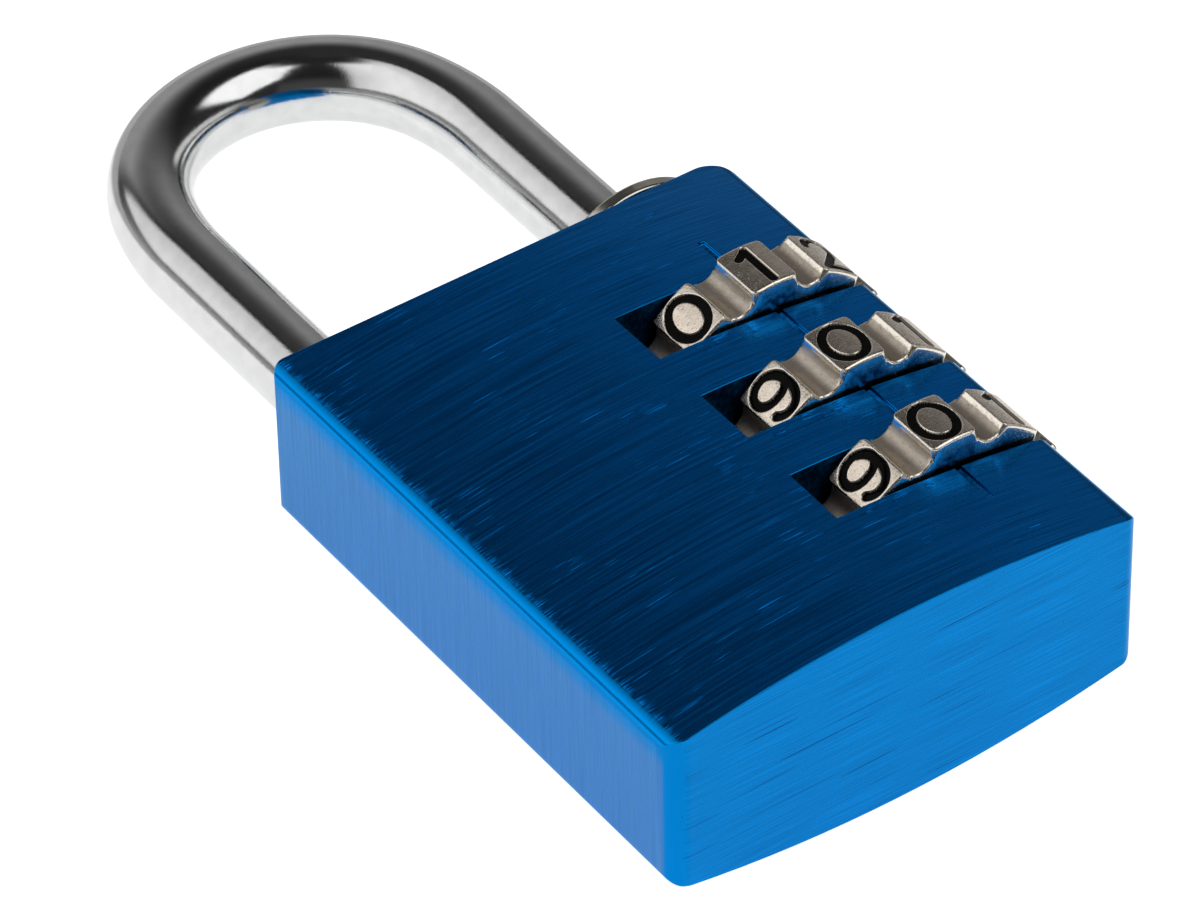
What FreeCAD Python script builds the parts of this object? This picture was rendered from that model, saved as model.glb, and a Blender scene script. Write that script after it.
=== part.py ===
import FreeCAD, Part
import math
import os

# Three-dial combination padlock, closed, with its opening code set.
# Millimetres. It lies on its back: +X is right and +Y is towards the shackle when the dial face is
# looked at, and +Z comes out of the dial face. The origin is the centre of the flat bottom end.

V = FreeCAD.Vector
ALONG_X, ALONG_Y, ALONG_Z = V(1, 0, 0), V(0, 1, 0), V(0, 0, 1)

# ---- body: a bar of biconvex section, sawn flat at the bottom and dished at the top
BODY_WIDTH = 30.6
BODY_HEIGHT = 37.65           # where the dished top end meets the sides
TOP_DISH = 1.55               # how far the middle of the top end lies below that
SIDE_THICKNESS = 10.1         # at the two flat sides
BELLY_RISE = 1.55             # how far each broad face swells above the sides
LONG_EDGE_RADIUS = 1.0
TOP_LEFT_RADIUS = 0.9         # the four corners are tumbled unevenly
TOP_RIGHT_RADIUS = 1.9
BOTTOM_LEFT_RADIUS = 1.3
BOTTOM_RIGHT_RADIUS = 0.9
INDEX_GROOVE_WIDTH = 0.4
INDEX_GROOVE_DEPTH = 0.2
INDEX_GROOVE_OVERRUN = 3.0    # past the first and the last slot

# ---- dials: ten faces with flutes between, on one axis with the shackle's long leg
AXIS_FROM_SIDE = 6.1          # of the dial axis from the body's right side
NUMBERS = 10
DIALS = 3
CODE_FROM_BOTTOM = (0, 0, 1)  # the number that each dial shows at the index groove
DIAL_RADIUS = 7.85
DIAL_WIDTH = 3.77
DIAL_PITCH = 8.0
LOWEST_DIAL_Y = 10.1
FLUTE_RADIUS = 1.0
FLUTE_DEPTH = 0.9
SLOT_SIDE_GAP = 0.215
SLOT_END_GAP = 0.12

# ---- numbers: strokes of one width, recessed in the faces and filled with enamel
DIGIT_HEIGHT = 3.1
DIGIT_WIDTH = 2.65
DIGIT_STROKE = 0.48
DIGIT_DEPTH = 0.3
ENAMEL_THICKNESS = 0.16

# ---- shackle
WIRE_DIAMETER = 5.0
TOE_FROM_SIDE = 4.4           # of the toe leg's middle from the body's left side
STRAIGHT_ABOVE_BODY = 14.5    # of each leg, from the body's corners to the bow
BOW_INSET = 0.3               # the bow's radius is this much less than half the leg spacing
BOW_CENTRE_RISE = 1.94        # of the bow's centre above the ends of the straight legs
TOE_DEPTH = 5.3
TOE_CLEARANCE = 0.16          # round the toe in its hole
TOE_FLOOR_GAP = 0.3
TOE_FREE_GAP = 0.7            # over the body when the shackle is fully raised
WIRE_END_CHAMFER = 0.5

# ---- lock pins in the long leg
PIN_DIAMETER = 1.4
PIN_REACH = 3.2               # from the axis to the pin's tip
PIN_ROOT = 0.6                # from the axis to the pin's inner end
LEG_BELOW_PIN = 0.9

# ---- clutch sleeves, one through each dial
CAVITY_GAP = 0.2              # round the pin tips
SLEEVE_WALL = 0.6
TOOTH_HEIGHT = 0.5
TOOTH_WIDTH = 1.1
TOOTH_SIDE_GAP = 0.08
TOOTH_COUNT = 5
TOOTH_LENGTH = 1.1
TOOTH_SET_IN = 0.1            # of the teeth above the dial's lower flank
TOOTH_START = 2.6             # of the teeth above the sleeve's lower end
GATE_START = 4.5              # of the locking web above the sleeve's lower end
GATE_WEB = 1.2                # thickness of the web that the pins pass
GATE_SIDE_GAP = 0.15
SLEEVE_GAP = 0.1              # between stacked sleeves
CODE_SHIFT = 1.4              # travel that takes the teeth out of the dials
SHIFT_MARGIN = 0.2
RUNNING_FIT = 0.08            # radial, of each turning piece in its bore
WEB_FIT = 0.1                 # radial, of the leg in the locking webs

# ---- thrust washer and code-change spring under the lowest sleeve
WASHER_THICKNESS = 0.6
WASHER_HOLE_RADIUS = 2.7
SPRING_HEIGHT = 2.6
SPRING_WIRE = 0.4
SPRING_TURNS = 2.5

# ---- top bushing and its snap ring
BUSHING_FLANGE_RADIUS = 5.7
BUSHING_FLANGE_THICKNESS = 0.85
BUSHING_STANDOFF = 0.5        # of the flange above the dished end, on the axis
BUSHING_EDGE = 0.18
SPOTFACE_GAP = 0.2
PIN_STOP_GAP = 0.3            # between the raised top pin and the bushing
SNAP_RING_THICKNESS = 0.8
SNAP_RING_SINK = 0.35         # of the ring into the body
SNAP_RING_DEPTH = 0.45        # of the ring into the bushing
SNAP_RING_GAP = 0.05
SNAP_RING_OPENING = 3.0
SNAP_RING_BELOW_FACE = 3.0

# ---- detent leaves, one in a pocket at the end of each slot
LEAF_WIDTH = 2.2
LEAF_THICKNESS = 0.25
LEAF_BUMP_RADIUS = 0.6        # of the strip's middle
LEAF_FLUTE_GAP = 0.15
LEAF_HALF_SPAN = 3.2
LEAF_SHOULDER = (0.6, 0.4)    # from the bump's foot to the bend, inwards and along the strip
POCKET_DEPTH = 1.0
POCKET_GAP = 0.2

# ---- worked out from the sizes above
wire_radius = WIRE_DIAMETER / 2
axis_x = BODY_WIDTH / 2 - AXIS_FROM_SIDE
toe_x = TOE_FROM_SIDE - BODY_WIDTH / 2
half_spacing = (axis_x - toe_x) / 2
half_thickness = SIDE_THICKNESS / 2 + BELLY_RISE
belly_radius = ((BODY_WIDTH / 2) ** 2 + BELLY_RISE ** 2) / (2 * BELLY_RISE)
dish_radius = ((BODY_WIDTH / 2) ** 2 + TOP_DISH ** 2) / (2 * TOP_DISH)
step = 360 / NUMBERS
flute_centre = DIAL_RADIUS - FLUTE_DEPTH + FLUTE_RADIUS
slot_end_x = axis_x - DIAL_RADIUS - SLOT_END_GAP
dial_y = [LOWEST_DIAL_Y + DIAL_PITCH * i for i in range(DIALS)]

cavity_radius = PIN_REACH + CAVITY_GAP
neck_radius = cavity_radius + SLEEVE_WALL
tooth_radius = neck_radius + TOOTH_HEIGHT
bore_radius = tooth_radius + RUNNING_FIT
dial_bore_radius = neck_radius + RUNNING_FIT
sleeve_length = DIAL_PITCH - SLEEVE_GAP
sleeve_y = [y - DIAL_WIDTH / 2 + TOOTH_SET_IN - TOOTH_START for y in dial_y]
pin_radius = PIN_DIAMETER / 2
pin_y = [y + GATE_START - CODE_SHIFT - SHIFT_MARGIN - pin_radius for y in sleeve_y]
lift = TOE_DEPTH + TOE_FREE_GAP

washer_y = sleeve_y[0] - SLEEVE_GAP - WASHER_THICKNESS
bore_floor_y = washer_y - SPRING_HEIGHT
sleeve_top_y = sleeve_y[-1] + sleeve_length + SLEEVE_GAP
leg_end_y = pin_y[0] - pin_radius - LEG_BELOW_PIN


def top_face_y(x):
    """Height of the dished top end at x."""
    return BODY_HEIGHT - TOP_DISH + dish_radius - math.sqrt(dish_radius ** 2 - x ** 2)


def front_face_z(x):
    """Height of the swelling dial face at x."""
    return half_thickness - belly_radius + math.sqrt(belly_radius ** 2 - x ** 2)


flange_y = top_face_y(axis_x) + BUSHING_STANDOFF
ring_y = top_face_y(axis_x) - SNAP_RING_BELOW_FACE - SNAP_RING_THICKNESS
toe_end_y = top_face_y(toe_x) - TOE_DEPTH
leg_top_y = BODY_HEIGHT + STRAIGHT_ABOVE_BODY


def block(x0, x1, y0, y1, z0, z1):
    return Part.makeBox(x1 - x0, y1 - y0, z1 - z0, V(x0, y0, z0))


def rod(radius, y0, y1, x=axis_x):
    """A cylinder along Y, on the dial axis unless another x is given."""
    return Part.makeCylinder(radius, y1 - y0, V(x, y0, 0), ALONG_Y)


def tube(outer, inner, y0, y1, x=axis_x):
    return rod(outer, y0, y1, x).cut(rod(inner, y0 - 1, y1 + 1, x))


def joined(solids):
    """One solid from several that touch or overlap."""
    whole = solids[0]
    if len(solids) > 1:
        whole = whole.multiFuse(solids[1:]).removeSplitter()
    return whole.Solids[0] if len(whole.Solids) == 1 else whole


def turned(shape, degrees):
    """A copy turned about the dial axis; positive takes the dial face towards +X."""
    copy = shape.copy()
    copy.rotate(V(axis_x, 0, 0), ALONG_Y, degrees)
    return copy


def spokes(count, width, outer, inner, y0, y1):
    """Teeth or grooves: evenly spaced bars of one width, trimmed to a ring about the axis."""
    bar = block(axis_x - width / 2, axis_x + width / 2, y0, y1, 0, outer + 1)
    bars = [turned(bar, 360 / count * i) for i in range(count)]
    return tube(outer, inner, y0, y1).common(joined(bars))


def export(shape, node):
    shape.exportStep(f"parts/{node}.step")
    solids = len(shape.Solids)
    box = shape.BoundBox
    print(f"{node:20s} {solids:2d} solid(s) {shape.Volume:9.2f} mm3  valid {shape.isValid()}  "
          f"x {box.XMin:.2f}..{box.XMax:.2f}  y {box.YMin:.2f}..{box.YMax:.2f}  "
          f"z {box.ZMin:.2f}..{box.ZMax:.2f}")


# ---- body
def body_section():
    """The biconvex bar, endless for the body's purpose, with its four long edges rounded."""
    side, edge = BODY_WIDTH / 2, SIDE_THICKNESS / 2
    front = Part.Arc(V(-side, 0, edge), V(0, 0, half_thickness), V(side, 0, edge)).toShape()
    right = Part.LineSegment(V(side, 0, edge), V(side, 0, -edge)).toShape()
    back = Part.Arc(V(side, 0, -edge), V(0, 0, -half_thickness), V(-side, 0, -edge)).toShape()
    left = Part.LineSegment(V(-side, 0, -edge), V(-side, 0, edge)).toShape()
    bar = Part.Face(Part.Wire([front, right, back, left])).extrude(V(0, BODY_HEIGHT + 2, 0))
    long_edges = [e for e in bar.Edges if abs(e.tangentAt(e.FirstParameter).y) > 0.99]
    return bar.makeFillet(LONG_EDGE_RADIUS, long_edges)


def body_outline():
    """The body's plan as a thick plate: flat bottom, dished top and four rounded corners."""
    side, reach = BODY_WIDTH / 2, half_thickness + 1
    corners = [V(-side, 0, -reach), V(side, 0, -reach), V(side, BODY_HEIGHT, -reach)]
    edges = [Part.LineSegment(a, b).toShape() for a, b in zip(corners, corners[1:])]
    dish = Part.Arc(corners[-1], V(0, top_face_y(0), -reach), V(-side, BODY_HEIGHT, -reach))
    edges.append(dish.toShape())
    edges.append(Part.LineSegment(V(-side, BODY_HEIGHT, -reach), corners[0]).toShape())
    plate = Part.Face(Part.Wire(edges)).extrude(V(0, 0, 2 * reach))
    rounding = {(-side, BODY_HEIGHT): TOP_LEFT_RADIUS, (side, BODY_HEIGHT): TOP_RIGHT_RADIUS,
                (-side, 0): BOTTOM_LEFT_RADIUS, (side, 0): BOTTOM_RIGHT_RADIUS}
    for (x, y), radius in rounding.items():
        upright = [e for e in plate.Edges if (e.CenterOfMass - V(x, y, 0)).Length < 0.01]
        plate = plate.makeFillet(radius, upright)
    return plate


def lock_body():
    """The solid bar with its slots, leaf pockets, main bore, toe hole and index groove."""
    reach = half_thickness + 2
    half_slot = DIAL_WIDTH / 2 + SLOT_SIDE_GAP
    half_pocket = (LEAF_WIDTH + POCKET_GAP) / 2
    pocket_reach = LEAF_HALF_SPAN + POCKET_GAP
    cuts = [rod(bore_radius, bore_floor_y, BODY_HEIGHT + 1)]
    for y in dial_y:
        cuts.append(block(slot_end_x, BODY_WIDTH, y - half_slot, y + half_slot, -reach, reach))
        cuts.append(block(slot_end_x - POCKET_DEPTH, slot_end_x + 1, y - half_pocket,
                          y + half_pocket, -pocket_reach, pocket_reach))
    cuts.append(rod(wire_radius + TOE_CLEARANCE, toe_end_y - TOE_FLOOR_GAP, BODY_HEIGHT + 1, toe_x))
    spotface = BUSHING_FLANGE_RADIUS + SPOTFACE_GAP
    cuts.append(rod(spotface, flange_y - SPOTFACE_GAP, BODY_HEIGHT + 1))
    cuts.append(rod(bore_radius + SNAP_RING_SINK, ring_y - SNAP_RING_GAP,
                    ring_y + SNAP_RING_THICKNESS + SNAP_RING_GAP))
    groove_floor = front_face_z(axis_x) - INDEX_GROOVE_DEPTH
    cuts.append(block(axis_x - INDEX_GROOVE_WIDTH / 2, axis_x + INDEX_GROOVE_WIDTH / 2,
                      dial_y[0] - half_slot - INDEX_GROOVE_OVERRUN,
                      dial_y[-1] + half_slot + INDEX_GROOVE_OVERRUN, groove_floor, reach))
    whole = body_section().common(body_outline())
    return whole.cut(cuts).Solids[0]


# ---- shackle
def wire_disc(centre, direction):
    circle = Part.Circle(centre, direction, wire_radius).toShape()
    return Part.Face(Part.Wire(circle))


def wire_end(x, y0, y1):
    """A straight leg whose lower end is chamfered."""
    c = WIRE_END_CHAMFER
    tip = Part.makeCone(wire_radius - c, wire_radius, c, V(x, y0, 0), ALONG_Y)
    return [tip, rod(wire_radius, y0 + c, y1, x)]


def shackle():
    """Two straight legs, a long and a short one, joined by a three-centred bow."""
    bow_radius = half_spacing - BOW_INSET
    shoulder_radius = (half_spacing ** 2 + BOW_CENTRE_RISE ** 2 - bow_radius ** 2) / (2 * BOW_INSET)
    turn = math.atan2(BOW_CENTRE_RISE, shoulder_radius - half_spacing)
    bow_centre = V((axis_x + toe_x) / 2, leg_top_y + BOW_CENTRE_RISE, 0)
    pieces = wire_end(axis_x, leg_end_y, leg_top_y) + wire_end(toe_x, toe_end_y, leg_top_y)
    for x, sign in ((axis_x, 1), (toe_x, -1)):
        centre = V(x - sign * shoulder_radius, leg_top_y, 0)
        disc = wire_disc(V(x, leg_top_y, 0), ALONG_Y)
        pieces.append(disc.revolve(centre, V(0, 0, sign), math.degrees(turn)))
    start = bow_centre + V(math.cos(turn), math.sin(turn), 0) * bow_radius
    disc = wire_disc(start, V(-math.sin(turn), math.cos(turn), 0))
    pieces.append(disc.revolve(bow_centre, ALONG_Z, 180 - 2 * math.degrees(turn)))
    whole = joined([Part.Solid(p) if p.ShapeType != "Solid" else p for p in pieces])
    holes = [pin_blank(y, PIN_REACH + 1) for y in pin_y]
    return whole.cut(holes).Solids[0]


def pin_blank(y, reach):
    """A pin's cylinder, pointing to the back of the lock at height y."""
    return Part.makeCylinder(pin_radius, reach - PIN_ROOT, V(axis_x, y, -PIN_ROOT), -ALONG_Z)


# ---- dials
def bar_stroke(start, end, depth):
    """A straight stroke with round ends, standing up from the XY plane."""
    a, b = V(*start, 0), V(*end, 0)
    length, half = (b - a).Length, DIGIT_STROKE / 2
    bar = Part.makeBox(length, 2 * half, depth, V(0, -half, 0))
    bar.rotate(V(0, 0, 0), ALONG_Z, math.degrees(math.atan2(b.y - a.y, b.x - a.x)))
    bar.translate(a)
    return [bar] + [Part.makeCylinder(half, depth, p) for p in (a, b)]


def arc_stroke(centre, radius, first, last, depth):
    """A curved stroke from angle first to angle last in degrees, with round ends."""
    middle, half = V(*centre, 0), DIGIT_STROKE / 2
    sweep = last - first
    outer = Part.makeCylinder(radius + half, depth, middle, ALONG_Z, sweep)
    outer.rotate(middle, ALONG_Z, first)
    strokes = [outer.cut(Part.makeCylinder(radius - half, depth, middle))]
    if sweep < 360:
        for angle in (math.radians(first), math.radians(last)):
            end = middle + V(math.cos(angle), math.sin(angle), 0) * radius
            strokes.append(Part.makeCylinder(half, depth, end))
    return strokes


def digit(number, depth):
    """One number, centred on the origin, upright along Y, standing up from the XY plane."""
    w, h = (DIGIT_WIDTH - DIGIT_STROKE) / 2, (DIGIT_HEIGHT - DIGIT_STROKE) / 2

    def bar(*points):
        return sum((bar_stroke(a, b, depth) for a, b in zip(points, points[1:])), [])

    def arc(centre, radius, first, last):
        return arc_stroke(centre, radius, first, last, depth)

    def nine():
        ring, tail = 0.88 * w, 1.5 * w
        return (arc((0, h - ring), ring, 0, 360)
                + arc((ring - tail, h - ring), tail, -62, 0))

    strokes = {
        0: lambda: arc((0, h - w), w, 0, 180) + arc((0, w - h), w, 180, 360)
        + bar((w, h - w), (w, w - h)) + bar((-w, h - w), (-w, w - h)),
        1: lambda: bar((-0.5 * w, 0.66 * h), (0.15 * w, h), (0.15 * w, -h)),
        2: lambda: arc((0, h - 0.78 * w), 0.78 * w, -40, 165)
        + bar((0.6 * w, h - 1.28 * w), (-0.8 * w, -h), (0.85 * w, -h)),
        3: lambda: arc((0, 0.5 * h), 0.5 * h, -90, 150) + arc((0, -0.5 * h), 0.5 * h, -150, 90),
        4: lambda: bar((-0.1 * w, h), (-w, -0.4 * h), (w, -0.4 * h))
        + bar((0.45 * w, 0.1 * h), (0.45 * w, -h)),
        5: lambda: bar((0.75 * w, h), (-0.6 * w, h), (-0.7 * w, 0.15 * h))
        + arc((0, -0.4 * h), 0.6 * h, -150, 130),
        6: nine,
        7: lambda: bar((-0.85 * w, h), (0.85 * w, h), (-0.3 * w, -h)),
        8: lambda: arc((0, 0.52 * h), 0.48 * h, 0, 360) + arc((0, -0.46 * h), 0.54 * h, 0, 360),
        9: nine,
    }
    shape = joined(strokes[number]())
    if number == 6:
        shape.rotate(V(0, 0, 0), ALONG_Z, 180)
    return shape


def digit_ring(y, shown, floor, depth):
    """The ten numbers of a dial, set at radius floor, with the shown one at the index."""
    ring = []
    for number in range(NUMBERS):
        shape = digit(number, depth)
        shape.translate(V(axis_x, y, floor))
        ring.append(turned(shape, step * (number - shown)))
    return ring


def dial(y, shown):
    """A wheel with a splined bore, flutes between its faces and recessed numbers."""
    low, high = y - DIAL_WIDTH / 2, y + DIAL_WIDTH / 2
    flute = rod(FLUTE_RADIUS, low - 1, high + 1)
    flute.translate(V(0, 0, flute_centre))
    cuts = [turned(flute, step * (i + 0.5)) for i in range(NUMBERS)]
    grooves = spokes(NUMBERS, TOOTH_WIDTH + 2 * TOOTH_SIDE_GAP, bore_radius,
                     dial_bore_radius - 0.5, low - 1, high + 1)
    cuts += [rod(dial_bore_radius, low - 1, high + 1), grooves]
    cuts += digit_ring(y, shown, DIAL_RADIUS - DIGIT_DEPTH, 1.0)
    return rod(DIAL_RADIUS, low, high).cut(cuts).Solids[0]


def dial_digits(y, shown):
    return Part.makeCompound(digit_ring(y, shown, DIAL_RADIUS - DIGIT_DEPTH, ENAMEL_THICKNESS))


def sleeve(y):
    """The clutch sleeve in a dial: teeth outside, and inside a web with a gate for the pins."""
    top = y + sleeve_length
    web_low, web_high = y + GATE_START, y + GATE_START + GATE_WEB
    teeth = spokes(TOOTH_COUNT, TOOTH_WIDTH, tooth_radius, neck_radius - 0.3,
                   y + TOOTH_START, y + TOOTH_START + TOOTH_LENGTH)
    outside = joined([rod(neck_radius, y, top), teeth])
    half_gate = pin_radius + GATE_SIDE_GAP
    gate = block(axis_x - half_gate, axis_x + half_gate, web_low - 0.5, web_high + 0.5,
                 -cavity_radius, 0)
    cuts = [rod(cavity_radius, y - 1, web_low), rod(cavity_radius, web_high, top + 1),
            rod(wire_radius + WEB_FIT, web_low - 1, web_high + 1),
            gate.common(rod(cavity_radius, web_low - 0.5, web_high + 0.5))]
    return outside.cut(cuts).Solids[0]


# ---- small pieces inside the body
def detent_leaf(y):
    """A bent strip whose bump stands in the flute at the inner end of a slot."""
    half, low = LEAF_THICKNESS / 2, y - LEAF_WIDTH / 2
    apex = axis_x - DIAL_RADIUS + FLUTE_DEPTH - LEAF_FLUTE_GAP
    bump_x = apex - half - LEAF_BUMP_RADIUS
    bump = tube(LEAF_BUMP_RADIUS + half, LEAF_BUMP_RADIUS - half, low, low + LEAF_WIDTH, bump_x)
    right_half = block(bump_x, bump_x + 3, low - 1, low + LEAF_WIDTH + 1, -3, 3)
    pieces = [bump.common(right_half)]
    inward, along = LEAF_SHOULDER
    for side in (-1, 1):
        path = [(bump_x, LEAF_BUMP_RADIUS), (bump_x - inward, LEAF_BUMP_RADIUS + along),
                (slot_end_x - POCKET_DEPTH + half, LEAF_HALF_SPAN)]
        for (x0, z0), (x1, z1) in zip(path, path[1:]):
            length = math.hypot(x1 - x0, z1 - z0)
            strip = block(0, length, low, low + LEAF_WIDTH, -half, half)
            strip.rotate(V(0, 0, 0), ALONG_Y, -math.degrees(math.atan2(side * (z1 - z0), x1 - x0)))
            strip.translate(V(x0, 0, side * z0))
            pieces.append(strip)
        for x, z in path:
            bend = rod(half, low, low + LEAF_WIDTH, x)
            bend.translate(V(0, 0, side * z))
            pieces.append(bend)
    return joined(pieces)


def code_spring():
    """The coil under the thrust washer that holds the sleeves up in the dials."""
    wire = SPRING_WIRE / 2
    rise = SPRING_HEIGHT - SPRING_WIRE
    coil_radius = cavity_radius
    path = Part.makeHelix(rise / SPRING_TURNS, rise, coil_radius)
    start = Part.Wire(Part.Circle(V(coil_radius, 0, 0), ALONG_Y, wire).toShape())
    coil = Part.Wire(path).makePipeShell([start], True, True)
    coil.rotate(V(0, 0, 0), ALONG_X, -90)
    coil.translate(V(axis_x, bore_floor_y + wire, 0))
    return coil


def thrust_washer():
    return tube(tooth_radius, WASHER_HOLE_RADIUS, washer_y, washer_y + WASHER_THICKNESS)


def top_bushing():
    """The bored plug over the sleeves, with a flange that shows above the body."""
    flange_top = flange_y + BUSHING_FLANGE_THICKNESS
    flange = rod(BUSHING_FLANGE_RADIUS, flange_y, flange_top)
    rims = [e for e in flange.Edges if isinstance(e.Curve, Part.Circle)]
    flange = flange.makeFillet(BUSHING_EDGE, rims)
    plug = joined([rod(bore_radius, sleeve_top_y, flange_y), flange])
    stop_y = pin_y[-1] + pin_radius + lift + PIN_STOP_GAP
    ring_floor = bore_radius - SNAP_RING_DEPTH
    cuts = [rod(wire_radius + RUNNING_FIT, sleeve_top_y - 1, flange_top + 1),
            rod(cavity_radius, sleeve_top_y - 1, stop_y),
            tube(bore_radius + 1, ring_floor, ring_y - SNAP_RING_GAP,
                 ring_y + SNAP_RING_THICKNESS + SNAP_RING_GAP)]
    return plug.cut(cuts).Solids[0]


def bushing_snap_ring():
    """An open ring, half in the bushing's groove and half in the body's."""
    outer = bore_radius + SNAP_RING_SINK - SNAP_RING_GAP
    inner = bore_radius - SNAP_RING_DEPTH + SNAP_RING_GAP
    top = ring_y + SNAP_RING_THICKNESS
    half = SNAP_RING_OPENING / 2
    opening = block(axis_x - outer - 1, axis_x, ring_y - 1, top + 1, -half, half)
    return tube(outer, inner, ring_y, top).cut(opening).Solids[0]


os.makedirs("parts", exist_ok=True)
export(lock_body(), "lock_body")
export(shackle(), "shackle")
export(top_bushing(), "top_bushing")
export(bushing_snap_ring(), "bushing_snap_ring")
export(code_spring(), "code_spring")
export(thrust_washer(), "thrust_washer")
for i in range(DIALS):
    export(dial(dial_y[i], CODE_FROM_BOTTOM[i]), f"dial_{i + 1}")
    export(dial_digits(dial_y[i], CODE_FROM_BOTTOM[i]), f"dial_{i + 1}_digits")
    export(sleeve(sleeve_y[i]), f"sleeve_{i + 1}")
    export(detent_leaf(dial_y[i]), f"detent_leaf_{i + 1}")
    export(pin_blank(pin_y[i], PIN_REACH), f"lock_pin_{i + 1}")
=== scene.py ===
"""The looks of a small blue combination padlock, lying on its back.

Everything is in metres in the lock's own frame: +X right, +Y towards the shackle, +Z out of the dial face.
Sizes below are in millimetres and are multiplied by MM where they are used. Colours are linear.
"""

import math

import bmesh
import bpy
import numpy as np
from mathutils import Matrix, Vector


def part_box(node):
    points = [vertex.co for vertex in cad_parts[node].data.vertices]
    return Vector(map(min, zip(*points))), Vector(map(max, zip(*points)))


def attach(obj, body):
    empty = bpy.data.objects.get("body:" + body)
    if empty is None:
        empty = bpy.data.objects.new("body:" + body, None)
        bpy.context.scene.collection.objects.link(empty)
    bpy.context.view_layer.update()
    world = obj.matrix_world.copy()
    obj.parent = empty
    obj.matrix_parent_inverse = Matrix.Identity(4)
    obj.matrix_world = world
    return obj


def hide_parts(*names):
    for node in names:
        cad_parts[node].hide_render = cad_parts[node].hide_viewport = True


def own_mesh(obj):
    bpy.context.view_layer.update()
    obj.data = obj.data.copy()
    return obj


MM = 0.001
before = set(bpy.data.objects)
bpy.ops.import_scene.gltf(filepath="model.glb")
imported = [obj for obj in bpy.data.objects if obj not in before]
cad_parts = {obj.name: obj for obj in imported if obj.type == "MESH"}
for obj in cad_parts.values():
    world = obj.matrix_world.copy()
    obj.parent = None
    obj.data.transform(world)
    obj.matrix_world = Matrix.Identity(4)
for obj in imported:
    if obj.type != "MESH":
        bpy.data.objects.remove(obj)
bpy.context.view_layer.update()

# ---- camera: where it looks, from how far and from which side
AIM = (-1.81, 25.43, 0.045)
DISTANCE = 411.8
AZIMUTH = -34.596
ELEVATION = 41.138
ROLL = -1.08
SENSOR = 36.0                   # width of the picture
LENS = 227.16

# ---- dials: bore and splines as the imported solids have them, edges and numbers finer than theirs
NUMBERS = 10
SPREAD = 2 * math.pi / NUMBERS  # angle from one face to the next, in radians
SHOWN = {"dial_1": 0, "dial_2": 0, "dial_3": 1}     # the number in front at rest
DIAL_PITCH = 8.0
DIAL_BORE = 4.08
SPLINE_RADIUS = 4.58
SPLINE_WIDTH = 1.26
FLUTE_RADIUS = 0.94
FLUTE_DEPTH = 0.9
HALF_FACE = 11.0                # degrees from a face's middle to its edge
FACE_MARGIN = 0.8               # degrees past the edge that the close points go on
FACE_POINTS = 76                # points over a face and a flute, round the axis
FLUTE_POINTS = 22
SECTION_POINTS = 78             # points over a face and its rounded edge, along the axis
EDGE_POINTS = 9
FACE_EDGE = 0.15                # rounding between a face and its flutes
FLANK_EDGE = 0.20               # rounding between a face and the flanks
CORNER = 0.5                    # rounding of a face's corners
CORNER_SLOPE = 2.5              # how steeply a corner falls away past its rounding
DIGIT_HEIGHT = 3.3
DIGIT_WIDTH = 2.65
DIGIT_STROKE = 0.48
DIGIT_DEPTH = 0.3
DIGIT_WALL = 0.05               # half the width of a recess's sloping wall
WEAR_AND_GLINT_BY_FLUTE = 0.11            # how far the wear, painted bright as a glint, reaches from a flute, a flank and a number
WEAR_AND_GLINT_BY_FLANK = 0.16
WEAR_AND_GLINT_BY_DIGIT = 0.05

# ---- shackle
BOW_INSET = 0.3                 # the bow's radius is this much less than half the leg spacing
BOW_CENTRE_RISE = 1.94          # of the bow's centre above the ends of the straight legs
WIRE_END_CHAMFER = 0.5
LEG_RINGS = 24                  # rings along a leg, a shoulder and the bow, and points in each
SHOULDER_RINGS = 12
BOW_RINGS = 121
WIRE_POINTS = 96

# ---- body
BODY_EDGE = 0.07                # rounding of the edges that the solid leaves sharp
SHARP_ANGLE = 28                # degrees from which an edge counts as sharp
FLAT_ANGLE = 0.4                # degrees below which two facets are joined
WELD = 0.0005                   # points nearer to each other than this are joined
SLOTS = (2.05, 33.05)           # the dials' slots lie between these heights
WALLS_INSIDE = 7.0              # and the holes' walls lie nearer to the middle than this
WEBS = (7.25, 30.25)            # the webs between the dials lie between these heights
WEB_SIDES = (2.5, 8.75)         # and their smears between these places across
LEAN_TURNS = 10.0               # facets lean to the left up to this X and to the right beyond it

# ---- stage
FLOOR_SIZE = 3000
FLOOR_TILT = 4.75               # degrees: the lock leans on its wheels and its belly
FADE = (57.0, 72.0)             # where the floor turns grey to metal, beyond the bow
FADE_SLANT = 0.6                # how much nearer it does so for each step to the right
FLOOR_GREY = 0.12               # its brightness there, as a share
FLOOR_TO_METAL = 0.72           # what it shows to metal and to the eye, where 1 is white
FLOOR_TO_EYE = 0.93

# ---- studio
ROOM_LEAST = 0.015              # the room's darkest parts, where 1 is white
GLOW_RIGHT = 0.7
GLOW_LEFT = 0.3
RIGHT_PANEL_POINT = 150.0       # azimuth of the panel's lowest point, in degrees
RIGHT_PANEL_EDGE = 0.40         # and its z there

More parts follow.
